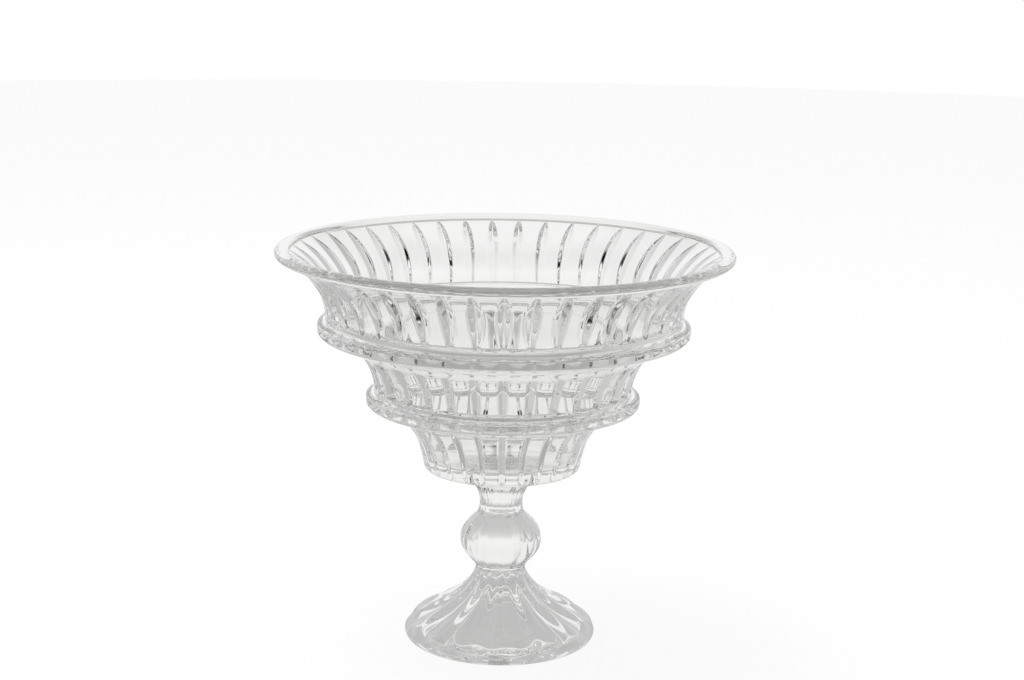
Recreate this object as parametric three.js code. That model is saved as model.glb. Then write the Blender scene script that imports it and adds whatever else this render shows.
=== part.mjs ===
// A footed crystal bowl: three stepped and flared tiers of fluted glass on a panelled stem and a spreading foot.
// Millimetres, +Z up. The origin is the middle of the surface that the foot stands on, and -Y is the front.
import * as THREE from "three";

// Bonds: the clear films that hold the glass pieces together
const BOND_FILM = 0.3; // thickness of a film
const BOND_INSET = 0.6; // how far a film stops short of the narrower face that it joins
const BONDS = 5;

// Heights: each piece takes its share of the whole, and the upper tier takes what is left
const OVERALL_HEIGHT = 248.1;
const FOOT_SHARE = 0.1802;
const KNOP_SHARE = 0.1439;
const NECK_SHARE = 0.1137;
const CUP_SHARE = 0.2056;
const MIDDLE_SHARE = 0.1842;
const FOOT_HEIGHT = FOOT_SHARE * OVERALL_HEIGHT;
const KNOP_HEIGHT = KNOP_SHARE * OVERALL_HEIGHT;
const NECK_HEIGHT = NECK_SHARE * OVERALL_HEIGHT;
const CUP_HEIGHT = CUP_SHARE * OVERALL_HEIGHT;
const MIDDLE_HEIGHT = MIDDLE_SHARE * OVERALL_HEIGHT;
const LOWER_HEIGHTS = FOOT_HEIGHT + KNOP_HEIGHT + NECK_HEIGHT + CUP_HEIGHT + MIDDLE_HEIGHT;
const UPPER_HEIGHT = OVERALL_HEIGHT - LOWER_HEIGHTS - BONDS * BOND_FILM;

// Upper tier, with the rolled rim
const RIM_RADIUS = 140; // outermost reach of the rim
const RIM_ROLL = 4.6; // radius of the roll
const ROLL_START = -135; // degrees round the roll where the wall's outside meets it
const ROLL_END = 180; // and where its inside does
const UPPER_BASE_RADIUS = 109.3; // outside of the wall where it stands on the middle tier
const UPPER_WALL = 6;
const UPPER_RISE = 12.2; // height over which the wall climbs before it turns outwards
const UPPER_LEAN = 0.7; // how far it leans out in that height
const UPPER_SWEEP = 15.6; // reach of the wall's outward sweep under the rim
const UPPER_SWEEP_DROP = 8.8; // fall of that sweep
const UPPER_FLUTES = 45;
const UPPER_GROOVE_WIDTH = 6.8;
const UPPER_GROOVE_DEPTH = 1.9;

// Middle tier, with the lip that carries the upper tier
const MIDDLE_BASE_RADIUS = 79.6;
const MIDDLE_WALL = 6.4;
const MIDDLE_RISE = 12.7;
const MIDDLE_LEAN = 1.9;
const MIDDLE_SWEEP = 19.5;
const MIDDLE_SWEEP_DROP = 8.5;
const MIDDLE_LIP_PROUD = 5.1; // how far the lip stands out past the wall above it
const MIDDLE_LIP_HEIGHT = 13.5;
const MIDDLE_LEDGE = 7.3; // width of the ledge inside the wall above it
const MIDDLE_FLUTES = 33;
const MIDDLE_GROOVE_WIDTH = 6.4;
const MIDDLE_GROOVE_DEPTH = 1.9;

// Lower cup, with the floor of the bowl and the lip that carries the middle tier
const CUP_BASE_RADIUS = 48.2;
const CUP_BASE_ROUND = 3.5;
const CUP_WALL = 6.5;
const CUP_FLOOR = 8; // thickness of the floor
const CUP_FLOOR_ROUND = 5;
const CUP_RISE = 15;
const CUP_LEAN = 3.3;
const CUP_SWEEP = 20;
const CUP_SWEEP_DROP = 8.5;
const CUP_LIP_PROUD = 4.9;
const CUP_LIP_HEIGHT = 12;
const CUP_LEDGE = 7.3;
const CUP_FLUTES = 27;
const CUP_GROOVE_WIDTH = 5;
const CUP_GROOVE_DEPTH = 1.9;

// The lips of the middle tier and the cup
const LIP_CORNER = 3; // radius of a lip's lower corner
const LIP_BAND = 1.5; // height of the upright band above that corner
const LIP_COVE = 3.4; // flat underside between the wall's sweep and that corner
const MOUTH_ROUND = 2.5; // rounding of a ledge's inner edge

// Stem: neck, knop and foot share one count of flutes
const STEM_FLUTES = 15;
const STEM_TURN = 6; // degrees that the stem's ridges are turned from the front
const NECK_TOP_RADIUS = 27; // the spread against the cup's underside
const NECK_SEAT_RADIUS = 14.6; // the neck's base and the knop's top
const NECK_WAIST = 3.8; // how far the neck's curve is drawn in from its seat
const NECK_WAIST_HEIGHT = 9;
const NECK_SPREAD = 11; // reach of the spread at the neck's top
const NECK_SPREAD_DROP = 9.2;
const NECK_FLUTE_DEPTH = 0.5;
const KNOP_RADIUS = 25.4;
const KNOP_BELT_HEIGHT = 18.8; // height of its widest part
const KNOP_SEAT_RADIUS = 15.4; // the knop's base and the foot's top
const KNOP_HEEL = 5; // height over which it leaves its seat upright
const KNOP_LOWER_SWELL = 10.6; // fullness of the curve below the widest part
const KNOP_UPPER_SWELL = 9.2; // fullness of the curve above it
const KNOP_SHOULDER = 3; // reach of the slope against the neck
const KNOP_SHOULDER_DROP = 3.7;
const KNOP_FLUTE_DEPTH = 0.9;
const FOOT_RADIUS = 59.6;
const FOOT_EDGE_HEIGHT = 4.5; // height of its widest part
const FOOT_EDGE_ROUND = 4.1; // how far the edge is rounded in towards the ring that it stands on
const FOOT_REST_WIDTH = 7; // width of that ring
const FOOT_HOLLOW_DEPTH = 12;
const FOOT_SWELL = 14.6; // width of the rounded border of the foot's top
const FOOT_SWELL_RISE = 14; // its height
const FOOT_SLOPE = 27; // degrees of the slope where the border turns into the sweep up to the stem
const FOOT_EDGE_LIFT = 4.5; // fullness of the curve above the edge
const FOOT_BORDER_EASE = 8.4; // length of slope on the border's side
const FOOT_SWEEP_EASE = 13.4; // length of slope on the stem's side
const FOOT_TOP_FLARE = 3.6; // reach of the last steep stretch below the knop
const FOOT_TOP_FLARE_DROP = 12.7;
const FOOT_FLUTE_DEPTH = 1.3;

// Flutes
const FLUTE_FADE = 0.7; // how soon a flute reaches its depth: lower is sooner
const GROOVE_TIP = 0.35; // share of a groove's width that is left at its two tips

// Fineness of the surfaces
const WALL_STEPS = 5;
const INNER_STEPS = 3;
const ROLL_STEPS = 7;
const CORNER_STEPS = 2;
const STEM_STEPS = 4;
const BOND_SIDES = 36;

const CRYSTAL = { color: 0xf2f4f3, roughness: 0.03, metalness: 0, transparent: true, opacity: 0.35 };
const CLEAR_BOND = { color: 0xf7f7f4, roughness: 0.1, metalness: 0, transparent: true, opacity: 0.3 };

// Heights lie on a fine binary grid that 32-bit numbers hold exactly, so that flat faces meet without overlap.
const GRID = 1024;
const SAME_POINT = 1e-6; // points closer than this are one point
const onGrid = (height) => Math.round(height * GRID) / GRID;
const at = (r, z) => new THREE.Vector2(r, z);
const radians = THREE.MathUtils.degToRad;

// Points of an outline in the half plane of radius and height
const sweep = (from, leave, arrive, to, steps) =>
  new THREE.CubicBezierCurve(from, leave, arrive, to).getPoints(steps);
const round = (centre, reach, rise, start, end, steps) =>
  new THREE.EllipseCurve(centre.x, centre.y, reach, rise, radians(start), radians(end), end < start)
    .getPoints(steps);

// Marks a run of points as fluted: the flutes are deepest part-way along and fade out at both ends.
function fluted(points) {
  points.forEach((point, i) => {
    point.flute = Math.sin((Math.PI * i) / (points.length - 1)) ** FLUTE_FADE;
  });
  return points;
}

// Joins runs of points into one outline, each shared end once.
function outlineOf(...runs) {
  const outline = [];
  for (const point of runs.flat()) {
    const last = outline.at(-1);
    if (!last || last.distanceTo(point) > SAME_POINT) outline.push(point);
  }
  return outline;
}

// One ring of a surface cut by upright V grooves, leaf-shaped because they narrow as they fade.
// Away from the grooves its points are evenly spaced.
function groovedRing(count, width, depth) {
  const pitch = (2 * Math.PI) / count;
  return ({ x: radius, flute }) => {
    const plain = flute === undefined;
    const half = plain ? pitch / 3 : (THREE.MathUtils.lerp(GROOVE_TIP, 1, flute) * width) / 2 / radius;
    const bottom = plain ? radius : radius - flute * depth;
    const ring = [];
    for (let k = 0; k < count; k++) {
      const middle = k * pitch;
      ring.push([middle - half, radius], [middle, bottom], [middle + half, radius]);
    }
    return ring;
  };
}

// One ring of a surface with wide shallow flutes between ridges.
function panelledRing(count, turn, depth) {
  const pitch = (2 * Math.PI) / count;
  return ({ x: radius, flute = 0 }) => {
    const hollow = radius - flute * depth;
    const ring = [];
    for (let k = 0; k < count; k++) {
      const ridge = radians(turn) + k * pitch;
      ring.push([ridge, radius], [ridge + pitch / 3, hollow], [ridge + (2 * pitch) / 3, hollow]);
    }
    return ring;
  };
}

// One plain round ring.
const plainRing = (sides) => ({ x: radius }) =>
  Array.from({ length: sides }, (_, k) => [(2 * Math.PI * k) / sides, radius]);

// Turns an outline about the axis. It runs counter-clockwise, and either starts and ends on the axis
// or closes on itself.
function turned(name, outline, ringOf, look) {
  const positions = [];
  const rings = outline.map((point) => {
    const places = point.x > 0 ? ringOf(point) : [[0, 0]];
    return places.map(([angle, radius]) => {
      positions.push(radius * Math.sin(angle), -radius * Math.cos(angle), point.y);
      return positions.length / 3 - 1;
    });
  });
  const solid = outline[0].x === 0;
  const index = [];
  rings.forEach((ring, i) => {
    if (solid && i === rings.length - 1) return;
    const next = rings[(i + 1) % rings.length];
    const columns = Math.max(ring.length, next.length);
    for (let j = 0; j < columns; j++) {
      const a = ring[j % ring.length];
      const b = ring[(j + 1) % ring.length];
      const c = next[(j + 1) % next.length];
      const d = next[j % next.length];
      if (a !== b) index.push(a, b, c);
      if (c !== d) index.push(a, c, d);
    }
  });
  const geometry = new THREE.BufferGeometry();
  geometry.setAttribute("position", new THREE.Float32BufferAttribute(positions, 3));
  geometry.setIndex(index);
  geometry.computeVertexNormals();
  const mesh = new THREE.Mesh(geometry, new THREE.MeshStandardMaterial(look));
  mesh.name = name;
  return mesh;
}

// The outside and the inside of a tier's wall. Both climb, then sweep outwards.
function wallCurves({ base, rise, lean, sweepReach, sweepDrop, wall, under, mouth, innerBase }) {
  const leave = at(base.x + lean, base.y + rise);
  const arrive = at(under.x - sweepReach, under.y - sweepDrop);
  const inward = at(wall, 0);
  return {
    outside: fluted(sweep(base, leave, arrive, under, WALL_STEPS)),
    inside: sweep(mouth, arrive.clone().sub(inward), leave.clone().sub(inward), innerBase, INNER_STEPS),
  };
}

// A lip: its underside, rounded corner, upright band, shoulder and the flat ledge on top, down to the mouth.
function lipRun({ height, lipHeight, seatRadius, proud, ledge, seatWall }) {
  const reach = seatRadius + proud;
  const underside = height - lipHeight;
  const shoulder = underside + LIP_CORNER + LIP_BAND;
  const mouthRadius = seatRadius - seatWall - ledge;
  return {
    under: at(reach - LIP_CORNER - LIP_COVE, underside),
    mouth: at(mouthRadius, height - MOUTH_ROUND),
    run: [
      ...round(at(reach - LIP_CORNER, underside + LIP_CORNER), LIP_CORNER, LIP_CORNER, -90, 0, CORNER_STEPS),
      ...round(at(seatRadius, shoulder), proud, height - shoulder, 0, 90, CORNER_STEPS),
      ...round(at(mouthRadius + MOUTH_ROUND, height - MOUTH_ROUND), MOUTH_ROUND, MOUTH_ROUND, 90, 180, 1),
    ],
  };
}

function upperTier() {
  const height = onGrid(UPPER_HEIGHT);
  const roll = at(RIM_RADIUS - RIM_ROLL, height - RIM_ROLL);
  const rim = round(roll, RIM_ROLL, RIM_ROLL, ROLL_START, ROLL_END, ROLL_STEPS);
  const { outside, inside } = wallCurves({
    base: at(UPPER_BASE_RADIUS, 0),
    rise: UPPER_RISE,
    lean: UPPER_LEAN,
    sweepReach: UPPER_SWEEP,
    sweepDrop: UPPER_SWEEP_DROP,
    wall: UPPER_WALL,
    under: rim[0],
    mouth: rim.at(-1),
    innerBase: at(UPPER_BASE_RADIUS - UPPER_WALL, 0),
  });
  const ring = groovedRing(UPPER_FLUTES, UPPER_GROOVE_WIDTH, UPPER_GROOVE_DEPTH);
  return turned("upper_tier", outlineOf(outside, rim, inside), ring, CRYSTAL);
}

function middleTier() {
  const height = onGrid(MIDDLE_HEIGHT);
  const lip = lipRun({
    height,
    lipHeight: MIDDLE_LIP_HEIGHT,
    seatRadius: UPPER_BASE_RADIUS,
    proud: MIDDLE_LIP_PROUD,
    ledge: MIDDLE_LEDGE,
    seatWall: UPPER_WALL,
  });
  const { outside, inside } = wallCurves({
    base: at(MIDDLE_BASE_RADIUS, 0),
    rise: MIDDLE_RISE,
    lean: MIDDLE_LEAN,
    sweepReach: MIDDLE_SWEEP,
    sweepDrop: MIDDLE_SWEEP_DROP,
    wall: MIDDLE_WALL,
    under: lip.under,
    mouth: lip.mouth,
    innerBase: at(MIDDLE_BASE_RADIUS - MIDDLE_WALL, 0),
  });
  const ring = groovedRing(MIDDLE_FLUTES, MIDDLE_GROOVE_WIDTH, MIDDLE_GROOVE_DEPTH);
  return turned("middle_tier", outlineOf(outside, lip.run, inside), ring, CRYSTAL);
}

function lowerCup() {
  const height = onGrid(CUP_HEIGHT);
  const lip = lipRun({
    height,
    lipHeight: CUP_LIP_HEIGHT,
    seatRadius: MIDDLE_BASE_RADIUS,
    proud: CUP_LIP_PROUD,
    ledge: CUP_LEDGE,
    seatWall: MIDDLE_WALL,
  });
  const baseCentre = at(CUP_BASE_RADIUS - CUP_BASE_ROUND, CUP_BASE_ROUND);
  const floorRadius = CUP_BASE_RADIUS - CUP_WALL;
  const floorCentre = at(floorRadius - CUP_FLOOR_ROUND, CUP_FLOOR + CUP_FLOOR_ROUND);
  const { outside, inside } = wallCurves({
    base: at(CUP_BASE_RADIUS, CUP_BASE_ROUND),
    rise: CUP_RISE,
    lean: CUP_LEAN,
    sweepReach: CUP_SWEEP,
    sweepDrop: CUP_SWEEP_DROP,
    wall: CUP_WALL,
    under: lip.under,
    mouth: lip.mouth,
    innerBase: at(floorRadius, floorCentre.y),
  });
  const outline = outlineOf(
    at(0, 0),
    round(baseCentre, CUP_BASE_ROUND, CUP_BASE_ROUND, -90, 0, CORNER_STEPS),
    outside,
    lip.run,
    inside,
    round(floorCentre, CUP_FLOOR_ROUND, CUP_FLOOR_ROUND, 0, -90, CORNER_STEPS),
    at(0, CUP_FLOOR),
  );
  const ring = groovedRing(CUP_FLUTES, CUP_GROOVE_WIDTH, CUP_GROOVE_DEPTH);
  return turned("lower_cup", outline, ring, CRYSTAL);
}

function neck() {
  const height = onGrid(NECK_HEIGHT);
  const side = sweep(
    at(NECK_SEAT_RADIUS, 0),
    at(NECK_SEAT_RADIUS - NECK_WAIST, NECK_WAIST_HEIGHT),
    at(NECK_TOP_RADIUS - NECK_SPREAD, height - NECK_SPREAD_DROP),
    at(NECK_TOP_RADIUS, height),
    STEM_STEPS,
  );
  const outline = outlineOf(at(0, 0), fluted(side), at(0, height));
  return turned("neck", outline, panelledRing(STEM_FLUTES, STEM_TURN, NECK_FLUTE_DEPTH), CRYSTAL);
}

function knop() {
  const height = onGrid(KNOP_HEIGHT);
  const belt = at(KNOP_RADIUS, KNOP_BELT_HEIGHT);
  const side = outlineOf(
    sweep(
      at(KNOP_SEAT_RADIUS, 0),
      at(KNOP_SEAT_RADIUS, KNOP_HEEL),
      at(KNOP_RADIUS, KNOP_BELT_HEIGHT - KNOP_LOWER_SWELL),
      belt,
      STEM_STEPS,
    ),
    sweep(
      belt,
      at(KNOP_RADIUS, KNOP_BELT_HEIGHT + KNOP_UPPER_SWELL),
      at(NECK_SEAT_RADIUS + KNOP_SHOULDER, height - KNOP_SHOULDER_DROP),
      at(NECK_SEAT_RADIUS, height),
      STEM_STEPS,
    ),
  );
  const outline = outlineOf(at(0, 0), fluted(side), at(0, height));
  return turned("knop", outline, panelledRing(STEM_FLUTES, STEM_TURN, KNOP_FLUTE_DEPTH), CRYSTAL);
}

function foot() {
  const height = onGrid(FOOT_HEIGHT);
  const restRadius = FOOT_RADIUS - FOOT_EDGE_ROUND;
  const hollowRadius = restRadius - FOOT_REST_WIDTH;
  const edge = at(FOOT_RADIUS, FOOT_EDGE_HEIGHT);
  const slope = at(FOOT_RADIUS - FOOT_SWELL, FOOT_EDGE_HEIGHT + FOOT_SWELL_RISE);
  const down = at(Math.cos(radians(FOOT_SLOPE)), -Math.sin(radians(FOOT_SLOPE)));
  const side = outlineOf(
    sweep(
      edge,
      at(FOOT_RADIUS, FOOT_EDGE_HEIGHT + FOOT_EDGE_LIFT),
      slope.clone().addScaledVector(down, FOOT_BORDER_EASE),
      slope,
      STEM_STEPS,
    ),
    sweep(
      slope,
      slope.clone().addScaledVector(down, -FOOT_SWEEP_EASE),
      at(KNOP_SEAT_RADIUS + FOOT_TOP_FLARE, height - FOOT_TOP_FLARE_DROP),
      at(KNOP_SEAT_RADIUS, height),
      STEM_STEPS,
    ),
  );
  const outline = outlineOf(
    at(0, FOOT_HOLLOW_DEPTH),
    round(at(0, 0), hollowRadius, FOOT_HOLLOW_DEPTH, 90, 0, STEM_STEPS),
    round(at(restRadius, FOOT_EDGE_HEIGHT), FOOT_EDGE_ROUND, FOOT_EDGE_HEIGHT, -90, 0, CORNER_STEPS),
    fluted(side),
    at(0, height),
  );
  return turned("foot", outline, panelledRing(STEM_FLUTES, STEM_TURN, FOOT_FLUTE_DEPTH), CRYSTAL);
}

// A round bond under a solid seat.
function bondDisc(name, seatRadius) {
  const radius = seatRadius - BOND_INSET;
  const film = onGrid(BOND_FILM);
  const outline = [at(0, 0), at(radius, 0), at(radius, film), at(0, film)];
  return turned(name, outline, plainRing(BOND_SIDES), CLEAR_BOND);
}

// A ring of bond under the foot of a tier's wall.
function bondRing(name, seatRadius, wall) {
  const outer = seatRadius - BOND_INSET;
  const inner = seatRadius - wall + BOND_INSET;
  const film = onGrid(BOND_FILM);
  const outline = [at(inner, 0), at(outer, 0), at(outer, film), at(inner, film)];
  return turned(name, outline, plainRing(BOND_SIDES), CLEAR_BOND);
}

// Stands pieces one on another and returns the height that they reach.
function stack(group, pieces) {
  let level = 0;
  for (const [piece, height] of pieces) {
    piece.position.z = level;
    group.add(piece);
    level += onGrid(height);
  }
  return level;
}

const stem = new THREE.Group();
const stemHeight = stack(stem, [
  [foot(), FOOT_HEIGHT],
  [bondDisc("foot_bond", KNOP_SEAT_RADIUS), BOND_FILM],
  [knop(), KNOP_HEIGHT],
  [bondDisc("knop_bond", NECK_SEAT_RADIUS), BOND_FILM],
  [neck(), NECK_HEIGHT],
  [bondDisc("cup_bond", NECK_TOP_RADIUS), BOND_FILM],
]);

const bowl = new THREE.Group();
bowl.position.z = stemHeight;
stack(bowl, [
  [lowerCup(), CUP_HEIGHT],
  [bondRing("middle_bond", MIDDLE_BASE_RADIUS, MIDDLE_WALL), BOND_FILM],
  [middleTier(), MIDDLE_HEIGHT],
  [bondRing("upper_bond", UPPER_BASE_RADIUS, UPPER_WALL), BOND_FILM],
  [upperTier(), UPPER_HEIGHT],
]);

const footedBowl = new THREE.Group();
footedBowl.add(stem, bowl);

export default footedBowl;
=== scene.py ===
"""Footed crystal bowl: fluted glass tiers on a panelled stem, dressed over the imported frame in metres."""
import math

import bpy
from bpy.props import FloatProperty, FloatVectorProperty, IntProperty, PointerProperty
from mathutils import Matrix, Vector


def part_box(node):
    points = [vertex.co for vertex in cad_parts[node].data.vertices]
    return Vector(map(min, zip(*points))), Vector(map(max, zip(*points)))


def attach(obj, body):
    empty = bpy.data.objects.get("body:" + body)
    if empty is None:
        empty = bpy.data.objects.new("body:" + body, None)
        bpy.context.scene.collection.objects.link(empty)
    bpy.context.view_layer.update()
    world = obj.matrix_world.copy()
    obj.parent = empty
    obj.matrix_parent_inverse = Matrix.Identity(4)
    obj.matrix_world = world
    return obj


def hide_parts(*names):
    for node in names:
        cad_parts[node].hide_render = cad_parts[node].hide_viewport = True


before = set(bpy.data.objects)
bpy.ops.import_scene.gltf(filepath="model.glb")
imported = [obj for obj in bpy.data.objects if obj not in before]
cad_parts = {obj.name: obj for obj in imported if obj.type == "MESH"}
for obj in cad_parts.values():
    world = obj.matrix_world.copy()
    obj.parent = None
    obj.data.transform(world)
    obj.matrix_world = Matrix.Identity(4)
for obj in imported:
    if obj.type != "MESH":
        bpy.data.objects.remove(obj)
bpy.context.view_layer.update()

bl_info = {
    "name": "Footed crystal bowl",
    "version": (1, 0, 0),
    "blender": (4, 5, 0),
    "location": "3D View > Sidebar > Crystal Bowl",
    "description": "Fluted crystal pieces, their bonds and a plain studio around the packed bowl",
    "category": "Mesh",
}

WELD = 1e-6  # metres: points closer than this are one point
SHARP_ANGLE = math.radians(40)  # edges that turn more than this stay crisp

# Rows of points along each kind of run, and columns across a flute
WALL_ROWS = 28
LIPPED_ROWS = 40
INNER_ROWS = 18
ROLL_ROWS = 26
CORNER_ROWS = 8
STEM_ROWS = 22
FLAT_ROWS = 4
PANEL_COLUMNS = 4
FLUTE_COLUMNS = 18
FILM_SIDES = 180

# A groove is a V with a rounded bottom and rounded shoulders, in shares of its half width
GROOVE_FLOOR_ROUND = 0.08
GROOVE_EDGE_ROUND = 0.24
GROOVE_COLUMNS = (0.0, 0.04, 0.08, 0.3, 0.53, 0.76, 0.84, 0.92, 1.0, 1.08, 1.16, 1.24)
GROOVE_TIP = 0.12  # narrowest that a groove's columns get, as a share of its width

# Patterns in the clear materials, about so many to the metre, and how these bend and scatter light
STREAK_SCALE = 22
WAVE_SCALE = 70
MOTTLE_SCALE = 60
TINT_DETAIL = 2
WAVE_DETAIL = 1
DULLEST_POLISH = 0.02
GLASS_INDEX = 1.52

# The table in metres. A pair gives where one brightness starts to give way to the next and where it ends
TABLE_REACH = 4.0
TABLE_SIDES = 64
# Edges of the table's painted shadow under and near the foot, and of its painted shade on the left
UNDER_SHADOW_EDGE = (0.06, 0.08)  # outwards, from under the foot to near it
NEAR_SHADOW_EDGE = (0.08, 0.4)  # outwards, from near the foot to the far table
SIDE_SHADE_EDGE = (-0.05, 0.05)  # from the left to the right

# The same in degrees, turned from straight behind the bowl, or up from the level
# Where the painted shadow near the foot turns darker in front of it
FORE_SHADOW_TURN = (80, 100)  # near the foot, from behind it to in front of it
BACK_TURN = (20, 34)  # far table, from behind to the sides
FRONT_TURN = (85, 105)  # far table, from the sides to the front
SWEEP_TURN = (64, 72)  # from the sweep to the wings
ROOM_TURN = (98, 110)  # from the wings to the room in front
HIGH_TURN = (70, 90)  # from the sweep's top to the room above
HIGH_RISE = (22, 32)  # from the walls to their upper part
CEILING_RISE = (55, 65)  # from there to the ceiling

# Softbox, in metres and watts, and camera
SOFTBOX_PLACE = (-0.4, 0.2, 1.8)
SOFTBOX_TARGET = (0, 0, 0.1)
SOFTBOX_WIDTH = 1.2
SOFTBOX_POWER = 42
SENSOR_WIDTH = 36  # millimetres
CLEAR_BOUNCES = 32  # enough for light to cross every wall of the bowl
GLOSSY_BOUNCES = 16


def length(name, about, millimetres):
    """A length property, given in millimetres and kept in metres."""
    metres = millimetres / 1000
    return FloatProperty(
        name=name, description=about, default=metres, precision=5, unit="LENGTH", subtype="DISTANCE"
    )


def angle(name, about, degrees):
    """An angle property, given in degrees."""
    radians = math.radians(degrees)
    return FloatProperty(name=name, description=about, default=radians, unit="ROTATION", subtype="ANGLE")


def share(name, about, value):
    """A factor from 0 to 1."""
    return FloatProperty(name=name, description=about, default=value, min=0, max=1, subtype="FACTOR")


def count(name, about, value):
    """A whole number of like things."""
    return IntProperty(name=name, description=about, default=value, min=3)


def tint(name, about, value):
    """A colour."""
    return FloatVectorProperty(
        name=name, description=about, default=value, size=3, min=0, max=1, subtype="COLOR"
    )


class FluteSizes(bpy.types.PropertyGroup):
    """How the flutes of the tiers and the stem fade."""

    fade: share("Fade", "How soon a flute reaches its depth: lower is sooner", 0.5)
    point_fade: share("Point fade", "How soon a groove's top reaches its full width: lower is sooner", 0.7)
    stem_flutes: count("Stem flutes", "Flutes round the neck, knop and foot", 15)
    stem_turn: angle("Stem turn", "Turn of the stem's ridges from the front", 6)


class LipSizes(bpy.types.PropertyGroup):
    """The lips of the middle tier and the cup."""

    corner: length("Corner", "Reach of a lip's rounded lower corner", 4.5)
    corner_rise: length("Corner rise", "Height of that corner", 3.5)
    band: length("Band", "Height of the upright band above that corner", 2.6)
    shoulder: length("Shoulder", "Height of the rounding above that band", 2.2)
    cove: length("Cove", "Flat underside between the wall's sweep and that corner", 3.4)
    mouth_round: length("Mouth round", "Rounding of a ledge's inner edge", 2.5)


class UpperTierSizes(bpy.types.PropertyGroup):
    """The upper tier with the rolled rim."""

    roll: length("Rim reach", "Half the width of the rim's flattened bead", 4.6)
    roll_rise: length("Rim rise", "Half the height of that bead", 3)
    roll_start: angle("Roll start", "Where the wall's outside meets the bead", -110)
    base_radius: length("Base radius", "Outside of the wall where it stands on the middle tier", 109.3)
    wall: length("Wall", "Thickness of the wall", 6.6)
    rise: length("Rise", "Height over which the wall climbs before it turns outwards", 12.2)
    lean: length("Lean", "How far it leans out in that height", 0.7)
    sweep: length("Sweep", "Reach of the wall's outward sweep", 15.6)
    sweep_drop: length("Sweep drop", "Fall of that sweep", 8.8)
    flutes: count("Flutes", "Grooves round the tier", 45)
    groove_width: length("Groove width", "Width of a groove", 8.6)
    groove_depth: length("Groove depth", "Depth of a groove", 2.65)
    groove_base: share("Groove base", "Width and depth that a groove starts with", 0.5)
    groove_heel: share("Groove heel", "Length over which it widens, as a share of the wall", 0.45)
    groove_reach: share("Groove reach", "How far up the wall the grooves go", 1.0)
    groove_point: share("Groove point", "Length of a groove's pointed top, as a share of the wall", 0.5)
    bulge: length("Bulge", "Swelling of the panels between the grooves", 0.15)
    recess: length("Recess", "How far the fluted band lies below the plain wall above it", 0)


class MiddleTierSizes(bpy.types.PropertyGroup):
    """The middle tier with the lip that carries the upper tier."""

    base_radius: length("Base radius", "Outside of the wall where it stands on the cup", 79.6)
    wall: length("Wall", "Thickness of the wall", 6.4)
    rise: length("Rise", "Height over which the wall climbs before it turns outwards", 12.7)
    lean: length("Lean", "How far it leans out in that height", 1.9)
    sweep: length("Sweep", "Reach of the wall's outward sweep", 19.5)
    sweep_drop: length("Sweep drop", "Fall of that sweep", 8.5)
    lip_proud: length("Lip", "How far the lip stands out past the wall above it", 5.1)
    lip_height: length("Lip height", "Height from the lip's underside to the ledge", 12.3)
    ledge: length("Ledge", "Width of the ledge inside the wall above it", 7.3)
    flutes: count("Flutes", "Grooves round the tier", 33)
    groove_width: length("Groove width", "Width of a groove", 6.2)
    groove_depth: length("Groove depth", "Depth of a groove", 1.9)
    groove_base: share("Groove base", "Width and depth that a groove starts with", 0.7)
    groove_heel: share("Groove heel", "Length over which it widens, as a share of the wall", 0.45)
    groove_reach: share("Groove reach", "How far up the wall the grooves go", 0.62)
    groove_point: share("Groove point", "Length of a groove's pointed top, as a share of the wall", 0.07)
    bulge: length("Bulge", "Swelling of the panels between the grooves", 1.1)
    recess: length("Recess", "How far the fluted band lies below the plain wall above it", 0.5)


class LowerCupSizes(bpy.types.PropertyGroup):
    """The lower cup with the bowl's floor and the lip that carries the middle tier."""

    base_radius: length("Base radius", "Outside of the wall above the rounded base", 49.4)
    base_round: length("Base round", "Rounding of the base's edge", 3.5)
    wall: length("Wall", "Thickness of the wall", 6.5)
    floor: length("Floor", "Thickness of the floor", 8)
    floor_round: length("Floor round", "Rounding between the floor and the wall", 1.5)
    rise: length("Rise", "Height over which the wall climbs before it turns outwards", 15)
    lean: length("Lean", "How far it leans out in that height", 3.3)
    sweep: length("Sweep", "Reach of the wall's outward sweep", 20)
    sweep_drop: length("Sweep drop", "Fall of that sweep", 8.5)
    lip_proud: length("Lip", "How far the lip stands out past the wall above it", 4.9)
    lip_height: length("Lip height", "Height from the lip's underside to the ledge", 11.1)
    ledge: length("Ledge", "Width of the ledge inside the wall above it", 7.3)
    flutes: count("Flutes", "Grooves round the cup", 27)
    groove_width: length("Groove width", "Width of a groove", 3.6)
    groove_depth: length("Groove depth", "Depth of a groove", 2.0)
    groove_base: share("Groove base", "Width and depth that a groove starts with", 1.0)
    groove_heel: share("Groove heel", "Length over which it widens, as a share of the wall", 0.1)
    groove_reach: share("Groove reach", "How far up the wall the grooves go", 0.82)
    groove_point: share("Groove point", "Length of a groove's pointed top, as a share of the wall", 0.07)
    bulge: length("Bulge", "Swelling of the panels between the grooves", 0.3)
    recess: length("Recess", "How far the fluted band lies below the plain wall above it", 0.7)


class NeckSizes(bpy.types.PropertyGroup):
    """The neck between the knop and the cup."""

    top_radius: length("Top radius", "The spread against the cup's underside", 27)
    seat_radius: length("Seat radius", "The neck's base and the knop's top", 14.6)
    waist: length("Waist", "How far the neck's curve is drawn in from its seat", 3.8)
    waist_height: length("Waist height", "Height of that draw", 9)
    spread: length("Spread", "Reach of the spread at the neck's top", 11)
    spread_drop: length("Spread drop", "Fall of that spread", 9.2)
    flute_depth: length("Flute depth", "Deepest part of a flute", 0.5)


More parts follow.
